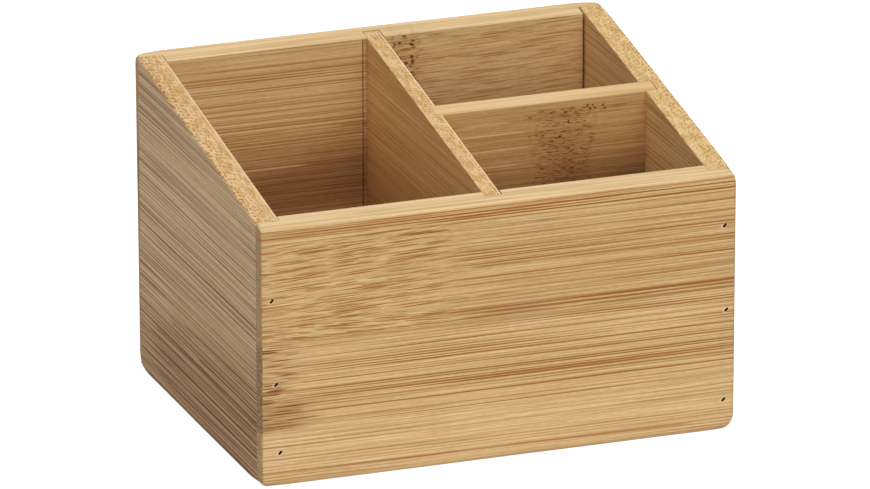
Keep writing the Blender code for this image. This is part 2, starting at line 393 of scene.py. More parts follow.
class Sheet:
    """The nodes of one finish or of the sky."""

    def __init__(self, tree: bpy.types.NodeTree) -> None:
        """Wraps a node tree."""
        self.tree = tree

    def node(self, kind: str, settings: dict, values: dict, output: int | str = 0) -> Wire:
        """Adds one node.

        Args:
            kind: The node's type.
            settings: Its properties, set first.
            values: Its sockets by name or number, each a number, a colour, a vector or a wire.
            output: The output to wrap.

        Returns:
            The chosen output.
        """
        made = self.tree.nodes.new(kind)
        for setting, value in settings.items():
            setattr(made, setting, value)
        for socket, value in values.items():
            self.feed(made.inputs[socket], value)
        return Wire(self, made.outputs[output])

    def feed(self, socket: bpy.types.NodeSocket, value: Wire | float | tuple) -> None:
        """Links a wire to a socket, or sets a plain value on it."""
        if isinstance(value, Wire):
            self.tree.links.new(value.socket, socket)
        else:
            socket.default_value = value

    def places(self) -> tuple[Wire, Wire, Wire]:
        """The x, y and z of each point, in millimetres."""
        spot = self.node("ShaderNodeTexCoord", {}, {}, "Object")
        scaled = self.node("ShaderNodeVectorMath", {"operation": "SCALE"}, {0: spot, "Scale": 1 / MM})
        x = self.node("ShaderNodeSeparateXYZ", {}, {0: scaled})
        return x, x.output(1), x.output(2)

    def vector(self, *parts: Wire | float) -> Wire:
        """Two or three numbers as one vector."""
        return self.node("ShaderNodeCombineXYZ", {}, dict(enumerate(parts)))

    def length(self, x: Wire, y: Wire) -> Wire:
        """The length of a flat vector."""
        return self.node("ShaderNodeVectorMath", {"operation": "LENGTH"}, {0: self.vector(x, y)}, "Value")

    def noise(self, x: Wire, y: Wire, z: Wire | float, detail: float = 1) -> Wire:
        """Soft noise around 0.5, with features about one unit apart."""
        spot = self.vector(x, y, z)
        return self.node("ShaderNodeTexNoise", {}, {"Vector": spot, "Scale": 1, "Detail": detail})

    def cells(self, *place: Wire, jitter: float = 1) -> tuple[Wire, Wire]:
        """Points scattered about one unit apart on a line, on a plane or in space.

        Args:
            place: Where to look: one, two or three numbers.
            jitter: How far the points stray from an even grid.

        Returns:
            The distance to the nearest point, and that point's own random number.
        """
        spot = {"W": place[0]} if len(place) == 1 else {"Vector": self.vector(*place)}
        settings = {"voronoi_dimensions": f"{len(place)}D"}
        near = self.node("ShaderNodeTexVoronoi", settings, {**spot, "Scale": 1, "Randomness": jitter})
        return near, self.node("ShaderNodeSeparateColor", {}, {0: near.output("Color")})

    def blend(self, share: Wire | float, under: Wire | Colour, over: Wire | Colour) -> Wire:
        """One colour laid over another by a share."""
        under, over = (part if isinstance(part, Wire) else linear(part) for part in (under, over))
        return self.node("ShaderNodeMix", {"data_type": "RGBA"}, {0: share, 6: under, 7: over}, 2)


class Finish:
    """A material under construction: its sheet and its Principled shader."""

    def __init__(self, name: str) -> None:
        """Starts a material."""
        self.material = bpy.data.materials.new(name)
        self.material.use_nodes = True
        self.sheet = Sheet(self.material.node_tree)
        self.shader = self.material.node_tree.nodes["Principled BSDF"]

    def set(self, values: dict[str, Wire | float | tuple]) -> None:
        """Feeds sockets of the shader, by name."""
        for socket, value in values.items():
            self.sheet.feed(self.shader.inputs[socket], value)

    def roughen(self, height: Wire, strength: float, depth: float) -> None:
        """Raises the surface by a height. The depth is in metres."""
        values = {"Strength": strength, "Distance": depth, "Height": height}
        self.set({"Normal": self.sheet.node("ShaderNodeBump", {}, values)})


@dataclass(frozen=True)
class Strip:
    """One of the strips that a board is glued up from. Millimetres.

    Attributes:
        top: Where it ends across the grain.
        shade: How much lighter it is than the board's usual colour, in shares of the usual spread.
        force: How strongly its bundles show, 1 being usual.
    """

    top: float
    shade: float = 0
    force: float = 1


@dataclass(frozen=True)
class Spot:
    """A point inside a board, also in its fibres' own terms. Millimetres.

    Attributes:
        sheet: The nodes that it belongs to.
        place: Its x, y and z.
        along: Its place along the fibres.
        across: Its place across them, with their slow sway.
        level: Its depth through the board, with a shift for each strip.
        shade: Its strip's shade.
        force: Its strip's force.
    """

    sheet: Sheet
    place: tuple[Wire, Wire, Wire]
    along: Wire
    across: Wire
    level: Wire
    shade: Wire | float
    force: Wire | float

    def stretched(self, run: float, pitch: float, shift: float) -> tuple[Wire, Wire, Wire]:
        """The point in a pattern that is drawn out and moved along the fibres."""
        return self.along / run + shift, self.across / pitch, self.level / pitch

    def drawn(self, run: float, pitch: float, shift: float = 0, detail: float = 1) -> Wire:
        """Noise drawn out along the fibres.

        Args:
            run: How far its features go along them.
            pitch: How far apart they are across and through.
            shift: Moves the pattern along, for one that matches no other.
            detail: How many finer layers it has.

        Returns:
            The noise, around 0.5.
        """
        return self.sheet.noise(*self.stretched(run, pitch, shift), detail)

    def bundles(self, run: float, pitch: float, rare: float) -> Wire:
        """Bundles cut lengthwise: thin lines side by side, each of its own strength, that swell and fade.

        Args:
            run: How far it is from one swelling to the next.
            pitch: How far apart the lines are.
            rare: How many of them are faint.

        Returns:
            How strongly they show.
        """
        near, lot = self.sheet.cells((self.across + self.level * 0.37) / pitch, jitter=0.85)
        swell = self.sheet.noise(self.along / run, lot * 91, self.level / 9)
        return (near - swell).rise(-0.28, -0.41) * lot.rise(rare - 0.7, rare + 0.7)

    def dashes(self, run: float, pitch: float, shift: float, rare: float) -> Wire:
        """Bundles cut at a slant: scattered, pointed dashes, each of its own strength.

        Args:
            run: How far apart they are along the fibres. They are a little over half as long.
            pitch: How far apart they are across and through.
            shift: Moves the pattern along, for one that matches no other.
            rare: How many of them are faint.

        Returns:
            How strongly they show.
        """
        near, lot = self.sheet.cells(*self.stretched(run, pitch, shift))
        return near.rise(0.44, 0.34) * lot.rise(rare - 0.7, rare + 0.7)


@dataclass(frozen=True)
class Knuckle:
    """A bamboo node that crosses a strip: darker, with short dashes and dark spots. Millimetres.

    Attributes:
        along: Its place along the grain.
        reach: How far it spreads to each side.
        low: The lower end of the strip across the grain.
        high: The upper end.
        dashes: How strongly its dashes show.
        spots: How strongly its dark spots show.
        run: How long its dashes are.
        pitch: How far apart its dashes are.
        tint: How much browner its ground is.
    """

    along: float
    reach: float
    low: float
    high: float
    dashes: float
    spots: float
    run: float
    pitch: float
    tint: float


@dataclass(frozen=True)
class Flare:
    """A stretch where the fibres run out of the face, so that bundles show as dashes. Millimetres.

    Attributes:
        start: Its low end along the grain.
        stop: Its high end.
        low: Its lower side across the grain.
        high: Its upper side.
        run: How long the dashes are.
        slope: How the dashes tilt, as rise over run.
        calm: How much of the long lines it hides.
        rare: How many of the dashes are faint.
    """

    start: float
    stop: float
    low: float
    high: float
    run: float
    slope: float
    calm: float = 0.85
    rare: float = 0.15


@dataclass(frozen=True)
class Streak:
    """One line or band that stands out, drawn from one point to another. Most are grain marks; some wide
    bands are painted shade, and one is a painted highlight. Millimetres.

    Attributes:
        start: Where it starts, along and across the grain.
        stop: Where it stops.
        width: Its whole width.
        depth: How strongly it shows.
        colour: Its colour.
    """

    start: Pair
    stop: Pair
    width: float
    depth: float
    colour: Colour = (160, 96, 52)


@dataclass(frozen=True)
class RimDots:
    """Cut bundle ends on a sloped rim, denser towards one face of the board. Millimetres.

    Attributes:
        dense_at: The face where they are densest.
        sparse_at: The face where they are fewest.
        least: How strongly they show there.
        length: How far apart they are along the rim.
        width: How far apart they are across it.
        depth: How strongly they show at most.
        shear: How far a row runs along the rim for each millimetre across it.
    """

    dense_at: float
    sparse_at: float
    least: float
    length: float
    width: float
    depth: float = 0.8
    shear: float = 0.5


@dataclass(frozen=True)
class Bamboo:
    """Lacquered bamboo strips, glued edge to edge into a board. Millimetres.

    Attributes:
        name: The finish's name.
        grain: The axes that the fibres follow.
        seed: Shifts the pattern, so that no two boards match.
        strips: Its strips, rising across the grain.
        face: Colour of the wood between the bundles.
        line: Colour of a bundle.
        dark_line: Colour of a dark bundle.
        rim: Colour of the cut rim.
        pitch: How far apart the bundles are.
        run: How far a bundle goes along the grain before it fades.
        faint: How many of the bundles are faint.
        contrast: How strongly the bundles show.
        pale_lines: How strongly light lines show between them.
        sway: How far the fibres sway across.
        painted_foot_shade: How strongly painted shade darkens its lowest edge, where a contact shadow falls.
        knuckles: Its bamboo nodes.
        flares: Where its fibres run out of the face.
        streaks: Its lines and bands that stand out: grain marks, and on some boards painted shade and a
            painted highlight.
        pits: Small dark holes, along and across the grain.
        dots: The cut ends on its rim, or None where the rim is long grain.
        pale_edge: Where along x the rim's pale edge lies, worn and with a painted highlight along its arris,
            or None.
        marked: The face that shows brad marks, or None.
        end_dots: Between which heights the end grain is the most speckled, or None where no end shows.
    """

    name: str
    grain: Grain
    seed: float
    strips: tuple[Strip, ...]
    face: Colour = (223, 187, 131)
    line: Colour = (166, 100, 38)
    dark_line: Colour = (136, 80, 32)
    rim: Colour = (214, 187, 143)
    pitch: float = 0.85
    run: float = 90
    faint: float = 0.25
    contrast: float = 0.9
    pale_lines: float = 0.4
    sway: float = 0.5
    painted_foot_shade: float = 0.35
    knuckles: tuple[Knuckle, ...] = ()
    flares: tuple[Flare, ...] = ()
    streaks: tuple[Streak, ...] = ()
    pits: tuple[Pair, ...] = ()
    dots: RimDots | None = None
    pale_edge: float | None = None
    marked: Face | None = None
    end_dots: Pair | None = None

    def made(self) -> bpy.types.Material:
        """The finish as a material."""
        finish = Finish(self.name)
        spot = self._spot(finish.sheet)
        colour, height = self._wood(spot)
        colour = self._streaked(spot, colour)
        colour, height = self._knuckled(spot, colour, height)
        colour, height = self._pitted(spot, colour, height)
        colour = self._ended(spot, colour)
        colour = self._rimmed(spot, colour)
        colour = self._marked(spot, colour)
        finish.set({"Base Color": colour, "Roughness": height * 0.12 + 0.54, "Specular IOR Level": 0.055})
        finish.roughen(height, 0.35, 0.00005)
        return finish.material

    def _shade(self, change: float) -> Colour:
        """The face colour made lighter or darker, with less change in red than in blue."""
        return shifted(self.face, change * 0.85, change, change)

    def _spot(self, sheet: Sheet) -> Spot:
        """The point in the fibres' terms. Each strip has its own shift through the board."""
        place = sheet.places()
        along, across, through = (place[axis] for axis in self.grain.value)
        number: Wire | float = 0
        shade: Wire | float = self.strips[0].shade
        force: Wire | float = self.strips[0].force
        for strip, after in zip(self.strips, self.strips[1:]):
            above = across.above(strip.top)
            number = above + number
            shade = above * (after.shade - strip.shade) + shade
            force = above * (after.force - strip.force) + force
        level = through + number * 37.3 + self.seed * 53.1
        sway = sheet.noise(along / 55, across / 14, level / 30) - 0.5
        return Spot(sheet, place, along, across + sway * self.sway, level, shade, force)

    def _wood(self, spot: Spot) -> tuple[Wire, Wire]:
        """Ground, bundles, dashes and fine fibres, as a colour and a height."""
        sheet, pitch, run = spot.sheet, self.pitch, self.run
        tone = spot.drawn(170, 15)
        band = spot.drawn(140, 2.8, 4)
        fine = spot.drawn(26, pitch * 0.42, 2)
        fleck = spot.drawn(2.4, 0.36, 19)
        shade = (tone - 0.5) * 0.2 + (band - 0.5) * 0.1 + (fine - 0.5) * 0.7 + (fleck - 0.5) * 0.45
        shade = shade + USUAL_SHADE + spot.shade * USUAL_SHADE
        colour = sheet.blend(shade, self._shade(-60), self._shade(32))

        hair = spot.drawn(run, pitch * 0.45, 6).rise(0.55, 0.62) * 0.35
        pale = spot.drawn(run, pitch * 0.4, 11).rise(0.56, 0.68) * self.pale_lines
        lines = spot.bundles(run, pitch, self.faint).largest(hair)
        for flare in self.flares:
            inside = spot.along.between(flare.start, flare.stop, 9)
            inside = inside * spot.across.between(flare.low, flare.high, 1.2)
            tilted = replace(spot, across=spot.across - spot.along * flare.slope)
            dashes = tilted.dashes(flare.run, pitch * 0.54, 3, flare.rare)
            dashes = dashes.largest(tilted.dashes(flare.run * 0.5, pitch * 0.5, 5, 0.6)) * 1.1
            lines = lines * (1 - inside * flare.calm) + dashes * inside * flare.calm

        tint = sheet.blend(spot.drawn(60, 1.7, 13).rise(0.5, 0.85), self.line, self.dark_line)
        colour = sheet.blend(pale, colour, self._shade(28))
        colour = sheet.blend(lines * spot.force * self.contrast, colour, tint)
        for strip in self.strips[:-1]:
            seam = abs(spot.across - strip.top).rise(0.16, 0.04)
            colour = sheet.blend(seam * 0.25, colour, self.dark_line)
        return colour, fine * 0.5 - lines * 0.6 + 0.3

    def _streaked(self, spot: Spot, colour: Wire) -> Wire:
        """Lays the lines and bands that stand out, painted shade and a painted highlight among them. Fibres
        break them up, the narrow ones most.
        """
        broken = spot.drawn(40, 0.6, 17).rise(0.3, 0.54)
        for streak in self.streaks:
            (start, from_level), (stop, to_level) = streak.start, streak.stop
            slope = (to_level - from_level) / (stop - start)
            off = spot.across - spot.along * slope
            mask = off.hump(from_level - start * slope, streak.width)
            mask = mask * spot.along.between(start, stop, max(3, streak.width * 0.5))
            rough = min(1, 3 / streak.width)
            force = (broken * rough + (1 - rough)) * streak.depth
            colour = spot.sheet.blend(mask * force, colour, streak.colour)
        return colour

    def _knuckled(self, spot: Spot, colour: Wire, height: Wire) -> tuple[Wire, Wire]:
        """Lays the bamboo nodes over the wood."""
        sheet, along, across = spot.sheet, spot.along, spot.across
        for knuckle in self.knuckles:
            ragged = (sheet.noise(along / knuckle.run, across / 1.2, self.seed) - 0.5) * 20
            in_strip = across.between(knuckle.low, knuckle.high, 0.15)
            zone = (along + ragged).hump(knuckle.along, knuckle.reach).rise(0, 0.6) * in_strip
            light = spot.dashes(knuckle.run, knuckle.pitch, 9, 0.6) * zone * knuckle.dashes
            dash = spot.dashes(knuckle.run, knuckle.pitch, 5, 0.2) * zone * knuckle.dashes
            near, lot = sheet.cells((along + ragged * 0.11) / 2, (across - ragged * 0.08) / 1.3)
            oval = near.rise(0.42, 0.2) * lot.rise(0.25, 0.5) * knuckle.spots
            oval = oval * along.hump(knuckle.along, knuckle.reach * 0.9).rise(0, 0.5) * in_strip
            colour = sheet.blend(zone * knuckle.tint, colour, self.dark_line)
            colour = sheet.blend(light * 0.5, colour, self._shade(12))
            colour = sheet.blend(dash, colour, NODE_DASH)
            colour = sheet.blend(oval, colour, NODE_SPOT)
            height = height - dash - oval
        return colour, height

    def _pitted(self, spot: Spot, colour: Wire, height: Wire) -> tuple[Wire, Wire]:
        """Sinks the pits, with torn outlines."""
        sheet, along, across = spot.sheet, spot.along, spot.across
        torn = (sheet.noise(along / 0.5, across / 0.4, self.seed, 2) - 0.5) * 1.1
        for pit_along, pit_across in self.pits:
            reach = sheet.length((along - pit_along) / 1.3, across - pit_across) + torn
            pit = reach.rise(0.42, 0.2) * 0.85
            colour = sheet.blend(pit, colour, PIT)
            height = height - pit * 0.3
        return colour, height

    def _ended(self, spot: Spot, colour: Wire) -> Wire:
        """Lays the end grain, darker and full of cut bundles, over the ends of the boards that show them."""
        if self.end_dots is None:
            return colour
        sheet, (x, y, z) = spot.sheet, spot.place
        half_width = CAD_BOX[1].x / MM
        near, lot = sheet.cells(y / 0.95, z / 0.75)
        force = z.between(*self.end_dots, 1) * 0.6 + 0.3
        dots = near.rise(0.5, 0.2) * lot.rise(0.1, 0.7) * force
        ground = sheet.blend(sheet.noise(y / 3, z / 2, self.seed, 2), colour, END_GROUND)
        ground = sheet.blend(force * 0.5, ground, END_SHADE)
        end = sheet.blend(dots, ground, END_DOT)
        return sheet.blend(abs(x).rise(half_width - 0.6, half_width - 0.1), colour, end)

    def _rimmed(self, spot: Spot, colour: Wire) -> Wire:
        """Lays the cut rim over what lies just under the slope, and painted shade on the lower edges."""
        sheet, (x, y, z) = spot.sheet, spot.place
        # Painted shade: the lowest edge is darkened towards the dark line colour, standing in for the contact
        # shadow there.
        colour = sheet.blend(z.rise(1.8, 0.2) * self.painted_foot_shade, colour, self.dark_line)
        under = (y - CAD_BOX[0].y / MM) * SLOPE + FRONT_HEIGHT / MM - z
        torn = (sheet.noise(x / 1.2, y, self.seed) - 0.5) * (1.6 if self.dots else 0.3)
        on_rim = (under + torn).rise(0.5, 0.2)
        if self.dots:
            return sheet.blend(on_rim, colour, self._dotted_rim(spot, self.dots))
        mottle = spot.drawn(45, 0.9, 21, 2) * 0.7 + spot.drawn(90, 3, 23) * 0.3
        return sheet.blend(on_rim * 0.82, colour, self._rim_ground(sheet, mottle.rise(0.36, 0.62)))

    def _rim_ground(self, sheet: Sheet, mottle: Wire) -> Wire:
        """The rim's own colour, deeper and paler by a mottle."""
        return sheet.blend(mottle, shifted(self.rim, -14, -18, -22), shifted(self.rim, 10, 11, 13))

    def _dotted_rim(self, spot: Spot, dots: RimDots) -> Wire:
        """The colour of a rim that cuts the bundles across: brown rings with pale halos."""
        sheet, (x, y, _) = spot.sheet, spot.place
        bent = (sheet.noise(x / 1.1, y / 1.8, self.seed + 4) - 0.5) * 1.3
        along, across = (y + x * dots.shear + bent) / dots.length, (x + bent * 0.2) / dots.width
        near, lot = sheet.cells(along, across, jitter=0.6)
        density = x.rise(dots.sparse_at, dots.dense_at) * (1 - dots.least) + dots.least
        ring = near.rise(0.42, 0.26) * (near.rise(0.02, 0.2) * 0.5 + 0.5)
        dark = ring * density * lot.rise(-0.2, 0.5) * dots.depth
        halo = near.rise(0.34, 0.5) * near.rise(0.68, 0.52) * density
        rim = self._rim_ground(sheet, sheet.noise(x / 1.6, y / 5, self.seed, 2).rise(0.35, 0.65))
        rim = sheet.blend(halo * 0.5, rim, shifted(self.rim, 16, 18, 20))
        rim = sheet.blend(dark, rim, sheet.blend(lot.rise(0.5, 0.9), RIM_DOT, WARM_RIM_DOT))
        if self.pale_edge is None:
            return rim
        # Partly wear and partly a painted highlight: a pale line along the rim's inner arris.
        return sheet.blend(x.hump(self.pale_edge, 0.7) * 0.8, rim, WORN_RIM_AND_HIGHLIGHT)

    def _marked(self, spot: Spot, colour: Wire) -> Wire:
        """Bright crushed fibres beside each brad mark, and painted shade on its inside."""
        if self.marked is None:
            return colour
        sheet, (x, y, z) = spot.sheet, spot.place
        inside = abs(y - self.marked.outer_y() / MM).rise(0.02, 0.1)
        for middle in brads(self.marked).values():
            off_x, off_z = x - middle.x / MM, z - middle.z / MM
            burr = sheet.length(off_x + 0.45, off_z + 0.25).rise(1.1, 0.5)
            colour = sheet.blend(burr * 0.55, colour, CRUSHED)
            # Painted shade: the inside of each brad hole, below the face, is painted near black.
            colour = sheet.blend(sheet.length(off_x, off_z).rise(1.1, 1) * inside, colour, BRAD_HOLE_SHADE)
        return colour


@dataclass(frozen=True)
class Steel:
    """Darkened flat wire, oxidised and kept dark as painted shade for the slot it sits in, with marks from
    drawing it and a trace of dirt. Millimetres.
    """

    name: str = "brad_wire"
    # Both colours are dark partly as oxide and partly as painted shade, so the sunk brads read as black
    # slots.
    bright: Colour = (66, 30, 14)
    dull: Colour = (36, 10, 2)

    def made(self) -> bpy.types.Material:
        """The finish as a material."""
        finish = Finish(self.name)
        sheet = finish.sheet
        x, y, z = sheet.places()
        drawn = sheet.noise(x / 0.12, y / 3, z / 0.12, 2)
        dirt = sheet.noise(x / 0.6, y / 0.6, z / 0.6, 2).rise(0.4, 0.65)
        rough, metal = drawn * 0.2 + dirt * 0.25 + 0.4, 0.3 - dirt * 0.25
        finish.set({"Base Color": sheet.blend(dirt, self.bright, self.dull), "Roughness": rough})
        finish.set({"Metallic": metal, "Specular IOR Level": 0.05})
        finish.roughen(drawn, 0.3, 0.00002)
        return finish.material


@dataclass(frozen=True)
class End:
    """How the left or the right end of the front or back panel is sanded. Metres.

    Attributes:
        bends: Radii of its upper and lower corner, and of its upright edge at the foot and the rim.
        edges: Radii that the long edges above and below grow to.
    """

    bends: tuple[float, float, float, float]
    edges: Pair


FRONT_ENDS = (
    End((0.0009, 0.0020, 0.0004, 0.0002), (0.0013, 0.0018)),
    End((0.0016, 0.0040, 0.0012, 0.0003), (0.0022, 0.0022)),
)
BACK_ENDS = (
    End((0.0014, 0.0022, 0.0028, 0.0005), (0.0018, 0.0040)),
    End((0.0018, 0.0022, 0.0028, 0.0005), (0.0022, 0.0036)),
)


@dataclass
class Board:
    """What all the boards have, and how a rounded profile becomes one of them. Metres.

    Attributes:
        node: The CAD node that it replaces.
        finish: Its finish.
        slot: A material slot's name; not used.
        seed: Draws how its edges wander.
    """

    node: str
    finish: Bamboo
    slot: str
    seed: int

    def box(self) -> Box:
        """The space that its CAD node takes."""
        return Box.of_node(self.node)

    def worn(self, stations: np.ndarray, share: float = WEAR) -> np.ndarray:
        """The factor by which its edges' radii wander."""
        return 1 + share * wander(stations, self.seed)

    def shaped(
        self, rings: np.ndarray, stations: np.ndarray, carry: Carry, bends: tuple[Pair, ...] = (STRAIGHT,) * 4
    ) -> bpy.types.Object:
        """Its profile carried along it, shaded smooth on the arcs and where a side bends."""
        return carried(self.node + "_board", rings, stations, carry, on_arcs(stations, bends))


@dataclass
class Wall(Board):
    """The front or back panel: full width, with rounded corners and soft outer edges. Metres.

    Attributes:
        ends: How its left and its right end are sanded.
        upper_edge: Usual radius of its upper outer edge.
        lower_edge: Usual radius of its lower outer edge.
        turned: How far from each end the stations follow the corners' arcs alone.
        wear: By what share its radii wander.
    """

    ends: tuple[End, End]
    upper_edge: float = 0.0012
    lower_edge: float = 0.0009
    turned: float = 0.0045
    wear: float = 0.18

    def stations(self) -> np.ndarray:
        """Places along x: even steps between the ends, and each corner's arc in equal turns."""
        turn = 1 - np.cos(np.linspace(0.0, np.pi / 2, ARC_STEPS + 2))
        low, high = self.box().low[0], self.box().high[0]
        at_left, at_right = (np.multiply.outer(end.bends, turn).ravel() for end in self.ends)
        even = np.linspace(low + self.turned, high - self.turned, WALL_STEPS)
        return np.unique(np.round(np.concatenate((low + at_left, even, high - at_right)), 5))

    def blank(self) -> bpy.types.Object:
        """The panel before its joints: a section that falls and narrows round the corners at both ends."""
        x = self.stations()
        (x_low, y_low, _), (x_high, y_high, _) = self.box().low, self.box().high
        left, right = self.ends
        bends = list(zip(left.bends, right.bends))
        falls = (eased(x - x_low, low) + eased(x_high - x, high) for low, high in bends)
        top_fall, foot, at_foot, at_rim = falls
        is_front = y_low < 0
        front_foot, front_rim = (y_low + fall * is_front for fall in (at_foot, at_rim))
        back_foot, back_rim = (y_high - fall * (not is_front) for fall in (at_foot, at_rim))
        front_top, back_top = (top_height(rim) - top_fall for rim in (front_rim, back_rim))
        corners = [(front_foot, foot), (back_foot, foot), (back_rim, back_top), (front_rim, front_top)]

        worn = self.worn(x, self.wear)
        edges = zip((self.upper_edge, self.lower_edge), left.edges, right.edges)
        top, under = (growing(x, usual * worn, (low, high)) for usual, low, high in edges)
        inner = SOFT_EDGE * worn
        radii = [under, inner, inner, top] if is_front else [inner, under, top, inner]
        sides = (STRAIGHT, bends[0], bends[2])
        sides = (bends[1], *(sides if is_front else sides[::-1]))
        return self.shaped(rounded(corners, radii), x, Carry.ALONG_X, sides)


@dataclass
class Upright(Board):
    """A side panel or the centre divider: carried from front to back under the slope. Metres.

    Attributes:
        edges: For the lower left, upper left, upper right and lower right edge, its usual radius and
            those at the front and the back.
    """

    edges: tuple[Triple, ...]

    def blank(self, y_low: float, y_high: float) -> bpy.types.Object:
        """The board before its grooves: a rectangle whose upper side follows the rim.

        Args:
            y_low: Its front end.
            y_high: Its back end.

        Returns:
            The board.
        """
        y = np.linspace(y_low, y_high, UPRIGHT_STEPS)
        (left, _, foot), (right, _, _) = self.box().low, self.box().high
        left, right, foot = (np.full_like(y, value) for value in (left, right, foot))
        corners = [(foot, left), (top_height(y), left), (top_height(y), right), (foot, right)]
        radii = [growing(y, usual * self.worn(y), (front, back)) for usual, front, back in self.edges]
        return self.shaped(rounded(corners, radii), y, Carry.ALONG_Y)


@dataclass
class Crossing(Board):
    """The cross divider or the bottom: carried from side to side, with one radius above. Metres."""

    edge: float

    def blank(self, x_low: float, x_high: float) -> bpy.types.Object:
        """The board: a rectangle, with its upper side on the slope if it reaches the rim.

        Args:
            x_low: Its left end.
            x_high: Its right end.

        Returns:
            The board.
        """
        x = np.linspace(x_low, x_high, CROSSING_STEPS)
        (_, front, foot), (_, back, top) = self.box().low, self.box().high
        front_top, back_top = (top_height(y) if top > FRONT_HEIGHT else top for y in (front, back))
        places = ((front, foot), (back, foot), (back, back_top), (front, front_top))
        corners = [(np.full_like(x, y), np.full_like(x, z)) for y, z in places]
        lower, upper = np.full_like(x, SQUARE_EDGE), self.edge * self.worn(x)
        return self.shaped(rounded(corners, [lower, lower, upper, upper]), x, Carry.ALONG_X)


@dataclass(frozen=True)
class BradHole:
    """The slanted slot that a flat brad leaves in a panel's face and the board behind it. Metres."""

    length: float = 0.00150
    width: float = 0.00078
    depth: float = 0.0190
    turn: float = math.radians(45)

    def cutter(self, name: str, x: float, z: float, face_y: float) -> bpy.types.Object:
        """A cutter whose profile is two half circles joined by straight sides, turned about its middle.

        Args:
            name: The cutter's name.
            x: Its middle along x.
            z: Its height.
            face_y: Where along y the face is that the brad goes into.

        Returns:
            The cutter.
        """
        angle = np.linspace(0, 2 * np.pi, 24, endpoint=False)
        straight = (self.length - self.width) / 2
        flat_x = np.cos(angle) * self.width / 2 + np.sign(np.cos(angle)) * straight
        flat_z = np.sin(angle) * self.width / 2
        cos, sin = math.cos(self.turn), math.sin(self.turn)
        ring = np.stack((z + flat_x * sin + flat_z * cos, x + flat_x * cos - flat_z * sin), axis=-1)[::-1]
        ends = sorted((face_y + math.copysign(MM, face_y), face_y - math.copysign(self.depth, face_y)))
        return carried(name, np.stack((ring, ring)), np.array(ends), Carry.ALONG_Y)


def front_bamboo() -> Bamboo:
    """The front panel's finish: a low strip, a middle one with a node at its left, and a flared top one."""
    return Bamboo(
        "front_bamboo",
        Grain.FROM_SIDE_TO_SIDE,
        seed=2.3,
        strips=(Strip(16.8, 0.3, 0.7), Strip(44.6, 0.06), Strip(TOP, -0.07, 1.1)),
        knuckles=(
            Knuckle(-77, 18, 33.5, 43.2, 1, 0, 26, 0.72, 0.08),
            Knuckle(-77, 15, 26.5, 33.5, 0.9, 0, 10, 0.6, 0.12),
            Knuckle(-77, 23, 16.8, 26.5, 1, 0, 26, 0.66, 0.3),
        ),
        flares=(
            Flare(-FAR, -14, 50, 75.5, 19, 0.03),
            Flare(-FAR, -16, 44.6, 50, 15, -0.05),
            Flare(-FAR, -62, 16.8, 44.6, 16, -0.02, 0.6),
        ),
        streaks=(
            Streak((-10, 46.4), (FAR, 46.6), 2.4, 0.3, (158, 104, 56)),
            Streak((-16, 47.5), (FAR, 47.7), 0.6, 0.7),
            Streak((-4, 46.4), (FAR, 46.6), 0.55, 0.85),
            Streak((-12, 45.4), (FAR, 45.6), 0.5, 0.6),
            Streak((-6, 52), (FAR, 52.6), 0.6, 0.6),
            Streak((-8, 61.2), (FAR, 61), 0.55, 0.75),
            Streak((0, 70.2), (FAR, 69.4), 0.6, 0.5),
            Streak((-FAR, 77.4), (-40, 77), 0.7, 0.8, (168, 98, 48)),
            Streak((-44, 75.2), (20, 78.6), 0.6, 0.6, (168, 100, 50)),
            Streak((12.2, 73.3), (26.7, 73.2), 0.35, 0.9, (96, 60, 34)),
            Streak((-FAR, 79.6), (FAR, 79.6), 0.5, 0.7, (176, 108, 52)),
            Streak((-FAR, 4.4), (60, 3.2), 0.5, 0.8, (180, 112, 56)),
            Streak((-FAR, 12.2), (FAR, 11.6), 0.45, 0.45),
            Streak((-FAR, 1.7), (FAR, 1.8), 0.45, 0.55),
        ),
        marked=Face.FRONT,
        end_dots=(17, 44),
    )


def back_bamboo() -> Bamboo:
    """The back panel's finish: long lines on the left, dashes on the right and a spotted node between, with
    painted shade darkening its lower part, most on the left.
    """
    return Bamboo(
        "back_bamboo",
        Grain.FROM_SIDE_TO_SIDE,
        seed=5.9,
        # The lower strips are darker partly as their own tone and partly as painted shade low in the
        # compartments.
        strips=(Strip(22, -0.5), Strip(60, -0.5), Strip(72.6, -0.45), Strip(TOP)),
        face=(223, 184, 126),
        knuckles=(Knuckle(9, 6.5, 82.5, TOP, 0.4, 0.95, 5, 0.7, 0.1),),
        flares=(Flare(2, FAR, 72.6, 104, 20, 0.03, 0.95, 0.4),),
        streaks=(
            # Painted shade: two wide dark bands low on the left, where shade falls deep in the left
            # compartment.
            Streak((-FAR, 54), (2, 54), 20, 0.4, (112, 68, 46)),
            Streak((-50, 48), (2, 54), 18, 0.36, (84, 42, 28)),
            Streak((-FAR, 72.3), (-12, 72), 0.7, 0.6, (236, 196, 138)),
            Streak((-FAR, 60.4), (-24, 60.6), 0.6, 0.7, (232, 190, 136)),
        ),
        contrast=0.7,
        marked=Face.BACK,
        end_dots=(60, 73),
    )


